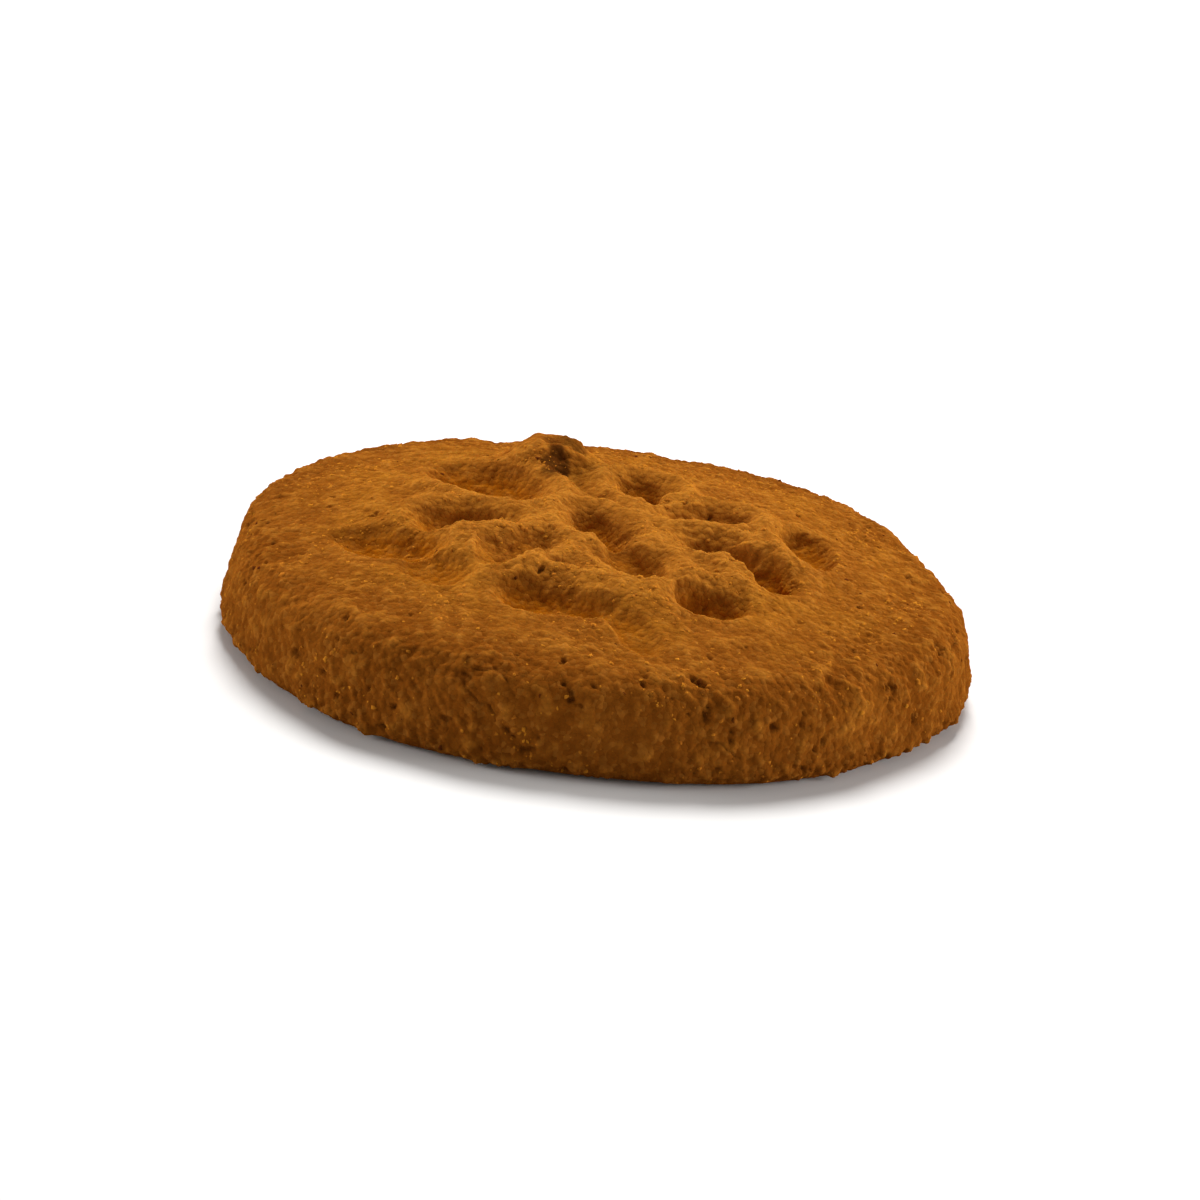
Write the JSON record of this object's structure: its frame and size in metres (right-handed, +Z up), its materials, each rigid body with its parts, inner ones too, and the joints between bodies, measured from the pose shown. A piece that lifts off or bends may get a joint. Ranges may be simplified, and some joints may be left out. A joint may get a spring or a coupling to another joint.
{
  "type": "cheese biscuit",
  "caption": "Small round baked cheese biscuit with a stamped flower of soft hollows on its crown, a rounded edge and a flat underside that it lies on.",
  "frame": {"origin": "the middle of the flat underside", "axes": "+Z up through the crown, +X to the right and +Y away from whoever looks at the biscuit as in the picture"},
  "size_m": [0.0414, 0.041, 0.0079],
  "materials": {
    "baked_dough": "golden brown baked crust, matt, sandy and slightly greasy, browner on the wall and the underside"
  },
  "bodies": {
    "root": {"biscuit": "baked_dough"}
  },
  "joints": []
}
